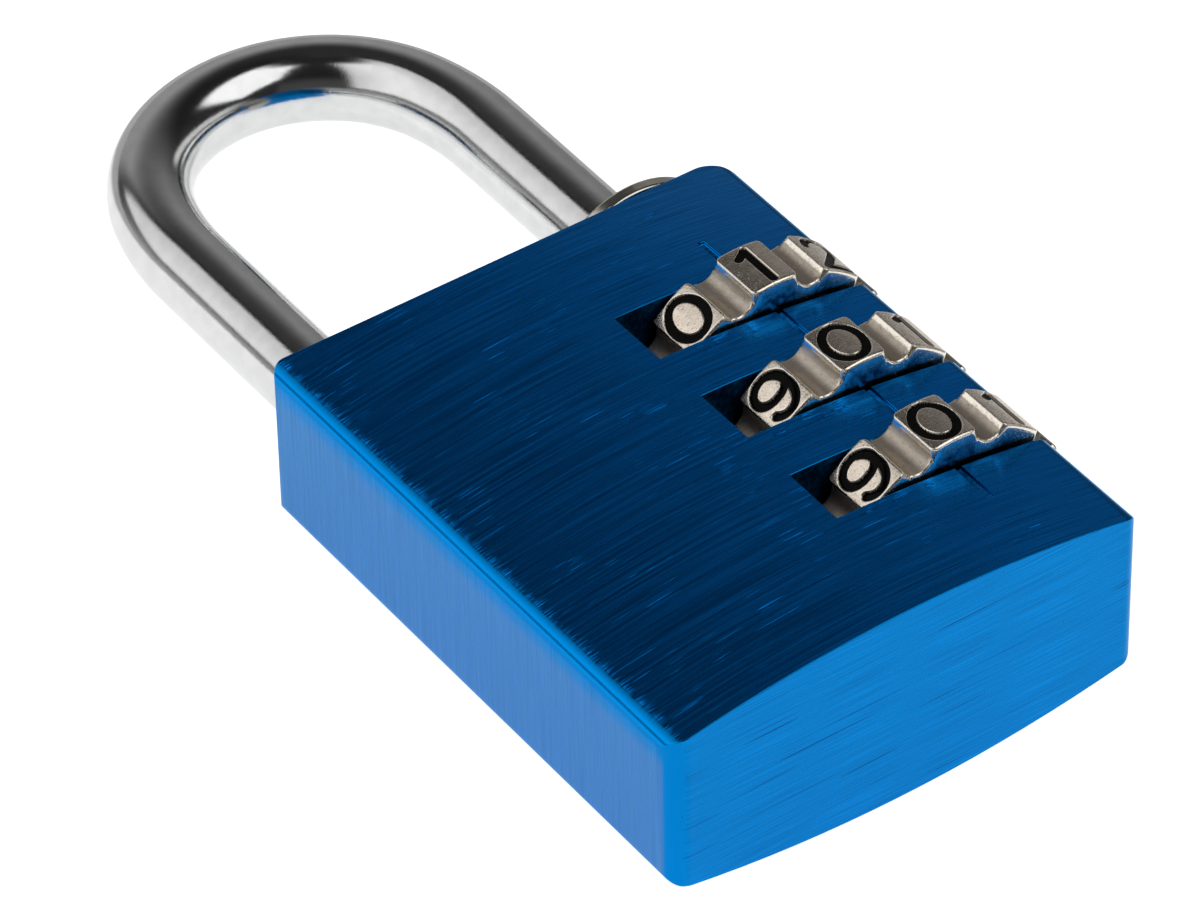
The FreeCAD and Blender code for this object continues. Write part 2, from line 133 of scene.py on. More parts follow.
# ---- colours
WHITE = (1.0, 1.0, 1.0)
BLUE = (0.0, 0.205, 0.59)
# painted light: a sheen on the sides, a brighter front face and a highlight on the front's upper right
BLUE_SIDE_SHEEN = (0.055, 0.208, 0.53)
BLUE_FACE_LIT = (0.0, 0.212, 0.75)
BLUE_HIGHLIGHT = (0.06, 0.33, 0.80)
BLUE_SCRATCH = (0.0, 0.05, 0.2)
# painted shade on the walls inside the slots and holes
BLUE_SHADE_INSIDE = (0.0, 0.015, 0.05)
CHROME = (0.69, 0.695, 0.69), (0.74, 0.745, 0.74)
CHROME_PIT = (0.12, 0.10, 0.09)
NICKEL = (0.80, 0.70, 0.59), (0.95, 0.84, 0.72)
NICKEL_GRAIN = (0.22, 0.18, 0.14)
NICKEL_SPECK = (0.13, 0.10, 0.08)
# painted shade in the flutes between the dials' faces
NICKEL_FLUTE_SHADE = (0.34, 0.30, 0.25)
# wear on the edges, painted bright as glints
NICKEL_WORN_GLINT = (1.0, 0.93, 0.81)
# painted shade on the flanks, which sit in the body's slots
NICKEL_FLANK_SHADE = (0.07, 0.07, 0.08), (0.30, 0.30, 0.30)
PAINT = (0.006, 0.006, 0.006)   # in the numbers' recesses
ENAMEL = (0.004, 0.004, 0.004), (0.012, 0.011, 0.010)
PLATE = (0.62, 0.58, 0.51), (0.78, 0.74, 0.66)
BRASS = (0.62, 0.42, 0.16), (0.80, 0.60, 0.28)
SPRING_STEEL = (0.42, 0.42, 0.43), (0.60, 0.60, 0.60)
HARD_STEEL = (0.30, 0.29, 0.28), (0.46, 0.45, 0.44)


# ---- node graphs
class Graph:
    """A small helper that builds one material's or the world's nodes."""

    def __init__(self, owner):
        owner.use_nodes = True
        self.tree = owner.node_tree
        self.tree.nodes.clear()

    def add(self, kind, inputs=None, **settings):
        node = self.tree.nodes.new(kind)
        for key, value in settings.items():
            setattr(node, key, value)
        for key, value in (inputs or {}).items():
            self.feed(node.inputs[key], value)
        return node

    def feed(self, socket, value):
        if isinstance(value, bpy.types.NodeSocket):
            self.tree.links.new(value, socket)
        elif isinstance(value, tuple) and len(value) == 3 and socket.type == "RGBA":
            socket.default_value = (*value, 1.0)
        else:
            socket.default_value = value

    def math(self, operation, *values):
        return self.add("ShaderNodeMath", dict(enumerate(values)), operation=operation).outputs[0]

    def chain(self, operation, first, others):
        for other in others:
            first = self.math(operation, first, other)
        return first

    def product(self, first, *others):
        return self.chain("MULTIPLY", first, others)

    def total(self, first, *others):
        return self.chain("ADD", first, others)

    def less(self, first, *others):
        """The first value less all the others."""
        return self.chain("SUBTRACT", first, others)

    def most(self, first, *others):
        return self.chain("MAXIMUM", first, others)

    def vector_math(self, operation, *values):
        node = self.add("ShaderNodeVectorMath", dict(enumerate(values)), operation=operation)
        return node.outputs["Vector"]

    def scaled(self, vector, factor):
        return self.add("ShaderNodeVectorMath", {0: vector, "Scale": factor}, operation="SCALE").outputs[0]

    def in_world(self, vector):
        """A direction in the object's own frame, as a direction in the world."""
        return self.add("ShaderNodeVectorTransform", {0: vector}, vector_type="VECTOR",
                        convert_from="OBJECT", convert_to="WORLD").outputs[0]

    def split(self, vector):
        return self.add("ShaderNodeSeparateXYZ", {0: vector}).outputs

    def combine(self, x, y, z):
        return self.add("ShaderNodeCombineXYZ", {0: x, 1: y, 2: z}).outputs[0]

    def step(self, value, low, high, to_low=0.0, to_high=1.0, kind="SMOOTHSTEP"):
        inputs = {0: value, 1: low, 2: high, 3: to_low, 4: to_high}
        return self.add("ShaderNodeMapRange", inputs, interpolation_type=kind).outputs[0]

    def ramp(self, value, low, high, to_low=0.0, to_high=1.0):
        """A step that goes straight up, without soft ends."""
        return self.step(value, low, high, to_low, to_high, "LINEAR")

    def under(self, value, low, high):
        """1 up to low, and 0 from high on."""
        return self.step(value, low, high, 1.0, 0.0)

    def between(self, value, low, high, low_soft, high_soft):
        """1 between low and high, each of them softened to both sides."""
        return self.product(self.step(value, low - low_soft, low + low_soft),
                            self.under(value, high - high_soft, high + high_soft))

    def noise(self, vector, scale=1.0, detail=2.0, roughness=0.5):
        inputs = {"Vector": vector, "Scale": scale, "Detail": detail, "Roughness": roughness}
        return self.add("ShaderNodeTexNoise", inputs).outputs["Fac"]

    def mix(self, factor, a, b):
        """Two colours, mixed."""
        node = self.add("ShaderNodeMix", data_type="RGBA")
        for socket, value in zip([node.inputs[i] for i in (0, 6, 7)], (factor, a, b)):
            self.feed(socket, value)
        return node.outputs[2]

    def blend(self, factor, a, b):
        """Two numbers, mixed."""
        node = self.add("ShaderNodeMix", data_type="FLOAT")
        for socket, value in zip([node.inputs[i] for i in (0, 2, 3)], (factor, a, b)):
            self.feed(socket, value)
        return node.outputs[0]

    def bump(self, height, distance, strength=1.0, normal=None):
        """A normal that leans as if the surface rose by distance, in millimetres, times height."""
        inputs = {"Height": height, "Distance": distance * MM, "Strength": strength}
        if normal:
            inputs["Normal"] = normal
        return self.add("ShaderNodeBump", inputs).outputs[0]

    def attribute(self, name):
        return self.add("ShaderNodeAttribute", attribute_name=name).outputs["Fac"]

    def coordinates(self):
        """The point in the object's own frame, in millimetres, and the normal there."""
        node = self.add("ShaderNodeTexCoord")
        return self.scaled(node.outputs["Object"], 1 / MM), node.outputs["Normal"]

    def surface(self, **inputs):
        shader = self.add("ShaderNodeBsdfPrincipled", {k.replace("_", " "): v for k, v in inputs.items()})
        self.add("ShaderNodeOutputMaterial", {"Surface": shader.outputs[0]})


def material(name):
    made = bpy.data.materials.new(name)
    return made, Graph(made)


# ---- materials
def anodised_aluminium():
    """Blue anodised aluminium, brushed along X on the faces and ends and along Z on the sides."""
    made, g = material("blue_anodised")
    point, normal = g.coordinates()
    x, y, z = g.split(point)
    normal_x, normal_y, normal_z = g.split(normal)
    width, nx, ny = (g.math("ABSOLUTE", value) for value in (x, normal_x, normal_y))
    side = body_high[0] / MM
    on_side = g.step(nx, 0.90, 0.995)
    on_end = g.step(ny, 0.80, 0.93)
    on_front = g.step(normal_z, 0.25, 0.6)
    on_face = g.step(normal_z, 0.94, 0.975)
    rounded = g.product(g.step(nx, 0.22, 0.35), g.under(nx, 0.96, 0.995))
    sideways = g.step(nx, 0.6, 0.8)
    along = g.blend(sideways, x, z)
    across = g.blend(on_end, y, z)

    def streaks(stretch, fineness, seed, detail=2.0):
        """Lines along the brushing: each is 1/stretch mm long and 1/fineness mm wide."""
        place = g.combine(g.product(along, stretch), g.product(across, fineness),
                          g.total(g.product(on_end, 7.0), seed))
        return g.noise(place, detail=detail)

    # the brushing's light and dark lines, calmer on the rounded edges and the sides
    hair = streaks(0.16, 15.0, seed=1.0, detail=3.0)
    fine = streaks(0.08, 4.5, seed=2.0)
    coarse = streaks(0.04, 1.1, seed=3.0)
    tone = g.total(g.product(hair, 0.85), g.product(fine, 0.10), g.product(coarse, 0.05))
    contrast = g.math("MULTIPLY_ADD", g.most(on_front, g.product(on_end, 0.5)), 0.75, 0.25)
    contrast = g.product(contrast, g.less(1.0, g.product(rounded, 0.85)))
    shade = g.math("MULTIPLY_ADD", g.product(g.less(tone, 0.5), contrast), 2.2, 1.0)
    shade = g.most(shade, 0.3)
    # painted light and shade on the front's rounded long edges: darker where they turn from the front,
    # brighter where they turn to the sides
    edge_light_and_shade = g.ramp(nx, 0.30, 0.72, 0.50, 1.42)
    shade = g.product(shade, g.blend(g.product(rounded, on_front), 1.0, edge_light_and_shade))

    # painted light: the flat of the sides is paler, but not near the front's edges, as a painted sheen; the
    # front face is a brighter blue of its own, as painted light; and the front's upper right is paler still,
    # as a painted highlight
    side_sheen = g.product(on_side, g.under(z, 3.0, 4.2))
    pale = g.step(g.total(g.product(x, 0.8), y), 30.0, 52.0)
    colour = g.mix(side_sheen, BLUE, BLUE_SIDE_SHEEN)
    colour = g.mix(on_face, colour, BLUE_FACE_LIT)
    colour = g.mix(g.product(pale, on_face, 0.36), colour, BLUE_HIGHLIGHT)
    colour = g.scaled(colour, shade)
    scratches = g.product(g.step(streaks(0.09, 5.0, seed=5.0, detail=1.0), 0.68, 0.74), on_end)
    colour = g.mix(g.product(scratches, 0.75), colour, BLUE_SCRATCH)

    # the walls of the slots and holes are bare of brushing, and painted dark in patches as the shade inside
    # the slots and holes
    walls_y = g.product(g.step(ny, 0.80, 0.92), g.between(y, *SLOTS, 0.05, 0.05))
    walls_x = g.product(g.step(nx, 0.80, 0.92), g.under(width, WALLS_INSIDE, WALLS_INSIDE + 0.1))
    walls = g.most(walls_y, walls_x)
    patchy_shade = g.step(g.noise(point, scale=3.0, detail=3.0), 0.40, 0.62, 0.95, 0.72)
    colour = g.mix(g.product(walls, patchy_shade), colour, BLUE_SHADE_INSIDE)

    # brushing that runs over the front's long edges leaves a ragged start of their rounding
    outer, middle, inner = side - 0.45, side - 0.72, side - 1.50
    sparse = g.total(g.ramp(width, outer, middle, 0.43, 0.545), g.ramp(width, middle, inner, 0.0, 0.16))
    ragged = g.step(g.less(streaks(0.30, 20.0, seed=6.0, detail=3.0), sparse), -0.07, 0.07)
    # single dashes all over the front, in patches
    patch = g.step(g.noise(point, scale=0.22, detail=2.0), 0.44, 0.58)
    dashes = g.product(g.step(streaks(0.28, 12.0, seed=4.0, detail=1.0), 0.665, 0.70), patch, on_face)
    # smears below the dials, on the webs between them
    below = g.math("FLOORED_MODULO", g.less(dial_low[1] / MM, y), DIAL_PITCH)
    smear = g.product(g.under(below, 0.5, 1.9), g.step(streaks(0.9, 1.6, seed=8.0, detail=3.0), 0.45, 0.60),
                      g.between(x, *WEB_SIDES, 1.5, 1.25), g.between(y, *WEBS, 0.25, 0.25))
    smear = g.product(g.step(smear, 0.15, 0.60), g.step(streaks(0.5, 16.0, seed=9.0), 0.46, 0.60))

    # in all three the facets lean outwards, up to an angle in radians
    furthest = g.product(g.ramp(width, side - 0.60, side - 1.20, 0.66, 0.48),
                         g.step(x, LEAN_TURNS, LEAN_TURNS + 2.0, 1.0, 0.5))
    towards = g.math("SIGN", g.less(x, LEAN_TURNS))
    leant = g.math("ARCSINE", g.product(towards, normal_x))
    lean = g.product(g.most(ragged, dashes, smear), g.most(g.less(furthest, leant), 0.0),
                     g.product(on_front, g.under(ny, 0.3, 0.6)))
    push = g.scaled(g.in_world(g.combine(towards, 0.0, 0.0)), g.math("TANGENT", lean))
    smooth_normal = g.add("ShaderNodeNewGeometry").outputs["Normal"]
    leaning = g.vector_math("NORMALIZE", g.vector_math("ADD", smooth_normal, push))
    relief = g.total(hair, g.product(fine, 0.3))
    relief = g.product(relief, g.less(1.0, g.product(rounded, 0.9)))

    roughness = g.ramp(fine, 0.3, 0.7, 0.20, 0.34)
    roughness = g.blend(rounded, roughness, 0.22)
    roughness = g.blend(walls, roughness, 0.4)
    # brushing spreads what it mirrors across its lines
    brushed = g.combine(g.under(nx, 0.6, 0.8), 0.0, sideways)
    spread = g.in_world(g.vector_math("CROSS_PRODUCT", normal, brushed))
    g.surface(Base_Color=colour, Metallic=1.0, Roughness=roughness,
              Normal=g.bump(relief, distance=0.0015, normal=leaning),
              Specular_Tint=(0.7, 0.9, 1.0), Anisotropic=0.75, Tangent=spread)
    return made


def chrome():
    """Bright chrome with a faint orange peel and a few pinholes."""
    made, g = material("chrome")
    point, _ = g.coordinates()
    mottle = g.noise(point, scale=0.9, detail=3.0)
    grain = g.noise(point, scale=11.0, detail=2.0)
    cells = g.add("ShaderNodeTexVoronoi", {"Vector": point, "Scale": 0.16, "Randomness": 1.0})
    pits = g.under(cells.outputs["Distance"], 0.012, 0.022)
    colour = g.mix(g.step(mottle, 0.35, 0.7), *CHROME)
    colour = g.mix(pits, colour, CHROME_PIT)
    roughness = g.ramp(grain, 0.3, 0.7, 0.08, 0.15)
    height = g.less(g.product(grain, 0.5), pits)
    g.surface(Base_Color=colour, Metallic=1.0, Roughness=roughness,
              Normal=g.bump(height, distance=0.009, strength=0.7))
    return made


def cast_nickel():
    """Nickel on a rough casting: speckled faces, edges with wear painted bright as glints, flutes painted
    darker as shade, and machined flanks painted dark as shade in the slots.
    """
    made, g = material("cast_nickel")
    point, _ = g.coordinates()
    worn_and_glinting, flank, flute, paint = (g.attribute(name) for name in ("worn_and_glinting", "flank", "flute", "paint"))
    mottle = g.noise(point, scale=2.2, detail=3.0, roughness=0.6)
    grain = g.noise(point, scale=9.0, detail=3.0, roughness=0.7)
    specks = g.step(g.noise(point, scale=6.0, detail=3.0, roughness=0.7), 0.61, 0.67)
    ragged = g.step(g.total(worn_and_glinting, g.product(g.less(mottle, 0.5), 0.5)), 0.45, 0.75)
    colour = g.mix(g.step(mottle, 0.35, 0.65), *NICKEL)
    colour = g.mix(g.step(grain, 0.30, 0.50, 0.35, 0.0), colour, NICKEL_GRAIN)
    colour = g.mix(g.product(specks, 0.55), colour, NICKEL_SPECK)
    # painted shade: the flutes between the faces are darker
    colour = g.mix(g.product(flute, 0.55), colour, NICKEL_FLUTE_SHADE)
    # wear on the edges and the rims of the numbers, painted bright as glints there
    colour = g.mix(ragged, colour, NICKEL_WORN_GLINT)
    # painted shade: the flanks, in the body's slots, are a dark nickel
    colour = g.mix(flank, colour, g.mix(g.step(mottle, 0.40, 0.60), *NICKEL_FLANK_SHADE))
    colour = g.mix(paint, colour, PAINT)
    rough = g.ramp(grain, 0.3, 0.7, 0.20, 0.32)
    rough = g.blend(flute, rough, 0.46)
    rough = g.blend(ragged, rough, 0.22)
    rough = g.blend(flank, rough, 0.26)
    height = g.less(grain, g.product(specks, 0.6))
    height = g.product(height, g.less(1.0, g.product(flank, 0.7)))
    g.surface(Base_Color=colour, Metallic=g.less(1.0, paint), Roughness=rough,
              Normal=g.bump(height, distance=0.015, strength=0.8), Specular_IOR_Level=0.05)
    return made


def enamel():
    """Glossy black stoving enamel, a little uneven in its recesses."""
    made, g = material("black_enamel")
    point, _ = g.coordinates()
    ripple = g.noise(point, scale=2.5, detail=2.0)
    colour = g.mix(ripple, *ENAMEL)
    roughness = g.ramp(g.noise(point, scale=8.0, detail=2.0), 0.3, 0.7, 0.25, 0.45)
    g.surface(Base_Color=colour, Roughness=roughness,
              Normal=g.bump(ripple, distance=0.05, strength=0.5), Specular_IOR_Level=0.02)
    return made


def turned_metal(name, tones, low, high):
    """Metal with fine rings round an axis along Y and a mottled tone, its roughness from low to high."""
    made, g = material(name)
    point, _ = g.coordinates()
    x, y, z = g.split(point)
    stretched = g.combine(g.product(x, 0.2), g.product(y, 3.0), g.product(z, 0.2))
    rings = g.noise(stretched, scale=2.0, detail=3.0)
    mottle = g.noise(point, scale=1.2, detail=3.0)
    colour = g.mix(g.step(mottle, 0.3, 0.7), *tones)
    roughness = g.ramp(rings, 0.3, 0.7, low, high)
    g.surface(Base_Color=colour, Metallic=1.0, Roughness=roughness,
              Normal=g.bump(rings, distance=0.006, strength=0.7))
    return made


# ---- meshes
def finished(name, mesh, body, replaced, made):
    """The mesh as a piece of the lock: the body it rides on, the nodes it replaces and material."""
    piece = bpy.data.objects.new(name, mesh)
    bpy.context.scene.collection.objects.link(piece)
    mesh.materials.clear()
    mesh.materials.append(made)
    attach(piece, body)
    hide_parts(*replaced)
    return piece


def mesh_from_rings(name, rings, closed_along):
    """A tube of quads over rings[i][j], a grid of points in millimetres whose rings are closed."""
    count, size = rings.shape[:2]
    i, j = np.meshgrid(np.arange(count if closed_along else count - 1), np.arange(size), indexing="ij")
    i2, j2 = (i + 1) % count, (j + 1) % size
    corners = [i * size + j, i2 * size + j, i2 * size + j2, i * size + j2]
    faces = np.stack(corners, axis=-1).reshape(-1, 4).tolist()
    if not closed_along:
        faces += [list(range(size))[::-1], [(count - 1) * size + k for k in range(size)]]
    mesh = bpy.data.meshes.new(name)
    mesh.from_pydata((rings.reshape(-1, 3) * MM).tolist(), [], faces)
    mesh.shade_smooth()
    face_outwards(mesh)
    return mesh


def face_outwards(mesh):
    work = bmesh.new()
    work.from_mesh(mesh)
    bmesh.ops.recalc_face_normals(work, faces=work.faces)
    work.to_mesh(mesh)
    work.free()


def soft_edged(node, made, body, width):
    """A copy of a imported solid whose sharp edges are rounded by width."""
    work = bmesh.new()
    work.from_mesh(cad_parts[node].data)
    work.transform(Matrix.Scale(1 / MM, 4))
    bmesh.ops.remove_doubles(work, verts=work.verts, dist=WELD)
    bmesh.ops.dissolve_limit(work, angle_limit=math.radians(FLAT_ANGLE), verts=work.verts, edges=work.edges)
    sharp = [edge for edge in work.edges
             if len(edge.link_faces) == 2 and edge.calc_face_angle() > math.radians(SHARP_ANGLE)]
    bmesh.ops.bevel(work, geom=sharp, offset=width, offset_type="OFFSET", segments=2, profile=0.5,
                    affect="EDGES", clamp_overlap=False, miter_outer="SHARP", miter_inner="SHARP")
    work.transform(Matrix.Scale(MM, 4))
    mesh = bpy.data.meshes.new(node + "_soft_edged")
    work.to_mesh(mesh)
    work.free()
    mesh.shade_smooth()
    piece = finished(node + "_soft_edged", mesh, body, [node], made)
    weighted = piece.modifiers.new("normals", "WEIGHTED_NORMAL")
    weighted.keep_sharp = True


# ---- dials
def stroke_distance(number, u, v):
    """Distance of the points (u, v) from the middle line of a number's strokes, in millimetres.

    The strokes' places are shares of w and h, half the number's width and height.
    """
    w, h = (DIGIT_WIDTH - DIGIT_STROKE) / 2, (DIGIT_HEIGHT - DIGIT_STROKE) / 2
    if number == 6:
        number, u, v = 9, -u, -v
    found = []

    def bar(*points):
        """Straight strokes from point to point."""
        for (x0, y0), (x1, y1) in zip(points, points[1:]):
            length = (x1 - x0) ** 2 + (y1 - y0) ** 2
            t = np.clip(((u - x0) * (x1 - x0) + (v - y0) * (y1 - y0)) / length, 0, 1)
            found.append(np.hypot(u - x0 - t * (x1 - x0), v - y0 - t * (y1 - y0)))

    def oval(centre_v, half_width, half_height, first=0, last=360):
        """A stroke round an ellipse on the middle line, between two angles in degrees."""
        dv = v - centre_v
        reach = np.maximum(np.hypot(u / half_width, dv / half_height), 0.01)
        slope = np.hypot(u / half_width ** 2, dv / half_height ** 2) / reach
        past = (np.degrees(np.arctan2(dv / half_height, u / half_width)) - first) % 360
        tips = [np.hypot(u - half_width * math.cos(a), dv - half_height * math.sin(a))
                for a in (math.radians(first), math.radians(last))]
        ring = np.abs(reach - 1) / np.maximum(slope, 0.01)
        found.append(np.where(past <= last - first, ring, np.minimum(*tips)))

    def arc(centre_v, radius, first=0, last=360):
        """The same round a circle."""
        oval(centre_v, radius, radius, first, last)

    if number == 0:
        oval(0, w, h)
    elif number == 1:
        bar((-0.45 * w, 0.66 * h), (0.12 * w, 0.94 * h), (0.12 * w, -h))
        bar((0.16 * w, h), (0.16 * w, -h))
    elif number == 2:
        arc(h - 0.78 * w, 0.78 * w, -40, 165)
        bar((0.6 * w, h - 1.28 * w), (-0.8 * w, -h), (0.85 * w, -h))
    elif number == 3:
        arc(0.5 * h, 0.5 * h, -90, 150)
        arc(-0.5 * h, 0.5 * h, -150, 90)
    elif number == 4:
        bar((-0.1 * w, h), (-w, -0.4 * h), (w, -0.4 * h))
        bar((0.45 * w, 0.1 * h), (0.45 * w, -h))
    elif number == 5:
        bar((0.75 * w, h), (-0.6 * w, h), (-0.7 * w, 0.15 * h))
        arc(-0.4 * h, 0.6 * h, -150, 130)
    elif number == 7:
        bar((-0.85 * w, h), (0.85 * w, h), (-0.3 * w, -h))
    elif number == 8:
        arc(0.52 * h, 0.48 * h)
        arc(-0.46 * h, 0.54 * h)
    else:
        oval(0.42 * h, 0.98 * w, 0.58 * h)
        oval(0, w, h, -138, 60)
    return np.minimum.reduce(found)


def smooth(value):
    t = np.clip(value, 0, 1)
    return t * t * (3 - 2 * t)


def outer_radius(angles):
    """The dial's radius without its numbers, with soft edges between faces and flutes."""
    middle = dial_radius - FLUTE_DEPTH + FLUTE_RADIUS
    offset = angles % SPREAD - SPREAD / 2
    low, high = np.full_like(angles, dial_radius - 2), np.full_like(angles, dial_radius + 0.5)
    for _ in range(40):
        r = (low + high) / 2
        face = r - dial_radius
        flute = FLUTE_RADIUS - np.hypot(r * np.sin(offset), r * np.cos(offset) - middle)
        gap = np.clip(FACE_EDGE - np.abs(face - flute), 0, None) / FACE_EDGE
        outside = np.maximum(face, flute) + gap ** 2 * FACE_EDGE / 4
        high, low = np.where(outside > 0, r, high), np.where(outside > 0, low, r)
    return r


def bore_radius(angles):
    """Splined bore: grooves of one width, spread evenly round the axis."""
    offset = (angles + SPREAD / 2) % SPREAD - SPREAD / 2
    return np.where(np.abs(offset) * SPLINE_RADIUS < SPLINE_WIDTH / 2, SPLINE_RADIUS, DIAL_BORE)


def dial_angles():
    """Angles round the dial, closer together over the faces than in the flutes."""
    edge = math.radians(HALF_FACE + FACE_MARGIN)
    face = np.linspace(-edge, edge, FACE_POINTS)
    flute = np.linspace(edge, SPREAD - edge, FLUTE_POINTS)[1:-1]
    return np.concatenate([np.concatenate([face, flute]) + SPREAD * i for i in range(NUMBERS)])


def dial_section(half):
    """Points from one end of the bore to the other, over both flanks and the faces.

    Each is its height over the dial's middle, how far it lies inside the outer radius, and on the flanks,
    instead of that, its share of the way from bore to rim.
    """
    flank = [(half, None, share) for share in (0.0, 0.35, 0.7)]
    edge = [(half - FLANK_EDGE * (1 - math.cos(t)), FLANK_EDGE * (1 - math.sin(t)), None)
            for t in np.linspace(0, math.pi / 2, EDGE_POINTS)[:-1]]
    face = [(y, 0.0, None) for y in np.linspace(FLANK_EDGE - half, half - FLANK_EDGE, SECTION_POINTS)]
    return [(-y, inset, share) for y, inset, share in flank + edge] + face + (flank + edge)[::-1]


def dial_mesh(name, shown):
    """A number wheel as one closed grid: round the axis, and over bore, flanks and faces."""
    low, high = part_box(name)
    middle, half = (low + high)[1] / 2 / MM, (high - low)[1] / 2 / MM
    axis_x = dial_axis[0] / MM
    angles = dial_angles()
    outer, bore = outer_radius(angles), bore_radius(angles)
    number = np.round(angles / SPREAD).astype(int) % NUMBERS
    turned = angles - np.round(angles / SPREAD) * SPREAD
    half_face = math.radians(HALF_FACE)
    from_flute = np.abs(np.abs(turned) - half_face) * dial_radius
    section = dial_section(half)
    rings = np.zeros((len(angles), len(section), 3))
    worn_and_glinting, flank, flute, paint = (np.zeros(rings.shape[:2]) for _ in range(4))
    for k, (y, inset, share) in enumerate(section):
        if inset is None:
            radius = bore + (outer - FLANK_EDGE - bore) * share
            flank[:, k] = 1.0
        else:
            distance = np.zeros(len(angles))
            for value in range(NUMBERS):
                here = number == value
                sideways = dial_radius * np.sin(turned[here])
                found = stroke_distance((value + shown) % NUMBERS, sideways, np.full(here.sum(), y))
                distance[here] = found - DIGIT_STROKE / 2
            sunk = smooth(0.5 - distance / (2 * DIGIT_WALL)) * DIGIT_DEPTH
            # the faces' corners are cast round
            inside = (half_face - np.abs(turned)) * dial_radius
            over = np.hypot(np.clip(CORNER - inside, 0, None), max(CORNER - half + abs(y), 0)) - CORNER
            corner = np.minimum(np.clip(over, 0, None) * CORNER_SLOPE, FLUTE_DEPTH * 0.7)
            radius = np.minimum(outer, dial_radius - corner) - inset - sunk
            # masks for the material
            paint[:, k] = smooth(sunk / DIGIT_DEPTH * 8 - 0.4)
            flute[:, k] = smooth((dial_radius - outer) * 6)
            from_flank = half - abs(y)
            # wear along the edges and the numbers' rims, also painted bright as glints along them
            worn_and_glinting[:, k] = np.maximum.reduce([
                np.exp(-(from_flute / WEAR_AND_GLINT_BY_FLUTE) ** 2),
                np.full(len(angles), math.exp(-(from_flank / WEAR_AND_GLINT_BY_FLANK) ** 2)),
                0.9 * np.exp(-((distance - DIGIT_WALL) / WEAR_AND_GLINT_BY_DIGIT) ** 2)])
        rings[:, k] = np.stack([axis_x + radius * np.sin(angles), np.full(len(angles), middle + y),
                                radius * np.cos(angles)], axis=-1)
    mesh = mesh_from_rings(name + "_cast", rings, True)
    for key, values in (("worn_and_glinting", worn_and_glinting), ("flank", flank), ("flute", flute), ("paint", paint)):
        attribute = mesh.attributes.new(key, "FLOAT", "POINT")
        attribute.data.foreach_set("value", values.ravel().astype(np.float32))
    return mesh


# ---- shackle
def shackle_mesh():
    """The bent wire: two straight legs, two shoulders and a bow, with chamfered ends."""
    low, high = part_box("shackle")
    long_x, long_end = dial_axis[0] / MM, low[1] / MM
    toe_x = low[0] / MM + wire_radius
    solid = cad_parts["shackle"].data
    toe_end = min(vertex.co.y for vertex in solid.vertices if vertex.co.x < 0) / MM
    half = (long_x - toe_x) / 2
    bow = half - BOW_INSET
    shoulder = (half ** 2 + BOW_CENTRE_RISE ** 2 - bow ** 2) / (2 * BOW_INSET)
    turn = math.atan2(BOW_CENTRE_RISE, shoulder - half)
    leg_top = high[1] / MM - wire_radius - bow - BOW_CENTRE_RISE
    middle = ((long_x + toe_x) / 2, leg_top + BOW_CENTRE_RISE)
    up, down = math.pi / 2, 1.5 * math.pi
    path = []                   # x, y, heading in the XY plane, radius of the wire

    def leg(x, end, heading):
        """A straight leg from its chamfered end up to the shoulder."""
        above = end + WIRE_END_CHAMFER
        ends = [(x, end, heading, wire_radius - WIRE_END_CHAMFER), (x, above, heading, wire_radius)]
        return ends + [(x, y, heading, wire_radius) for y in np.linspace(above, leg_top, LEG_RINGS)[1:-1]]

    path += leg(long_x, long_end, up)
    for t in np.linspace(0, turn, SHOULDER_RINGS)[:-1]:
        path.append((long_x - shoulder + shoulder * math.cos(t), leg_top + shoulder * math.sin(t),
                     t + up, wire_radius))
    for t in np.linspace(turn, math.pi - turn, BOW_RINGS)[:-1]:
        path.append((middle[0] + bow * math.cos(t), middle[1] + bow * math.sin(t), t + up, wire_radius))
    for t in np.linspace(turn, 0, SHOULDER_RINGS):
        path.append((toe_x + shoulder - shoulder * math.cos(t), leg_top + shoulder * math.sin(t),
                     down - t, wire_radius))
    path += leg(toe_x, toe_end, down)[::-1]
    around = np.linspace(0, 2 * math.pi, WIRE_POINTS + 1)[:-1]
    rings = np.zeros((len(path), len(around), 3))
    for k, (x, y, heading, radius) in enumerate(path):
        side = radius * np.cos(around)
        rings[k] = np.stack([x + side * math.sin(heading), y - side * math.cos(heading),
                             radius * np.sin(around)], axis=-1)
    mesh = mesh_from_rings("bent_wire", rings, False)
    for polygon in mesh.polygons:
        if len(polygon.vertices) > 4:
            polygon.use_smooth = False
    return mesh


# ---- spring
def squeezed_spring(made):
    """The code spring, copied from its solid to ride on the case; the real one shortens as the sleeves are
    pressed down on it, but this copy keeps its length.
    """
    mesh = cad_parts["code_spring"].data.copy()
    coil = finished("wound_spring", mesh, "case", ["code_spring"], made)
    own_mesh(coil)


# ---- stage
def make_camera():
    azimuth, elevation = math.radians(AZIMUTH), math.radians(ELEVATION)
    back = Vector((math.sin(azimuth) * math.cos(elevation), -math.cos(azimuth) * math.cos(elevation),
                   math.sin(elevation)))
    data = bpy.data.cameras.new("camera")
    data.sensor_width, data.lens = SENSOR, LENS
    camera = bpy.data.objects.new("camera", data)
    bpy.context.scene.collection.objects.link(camera)
    turn = (-back).to_track_quat("-Z", "Y").to_matrix().to_4x4() @ Matrix.Rotation(math.radians(ROLL), 4, "Z")
    camera.matrix_world = Matrix.Translation((Vector(AIM) + back * DISTANCE) * MM) @ turn
    bpy.context.scene.camera = camera


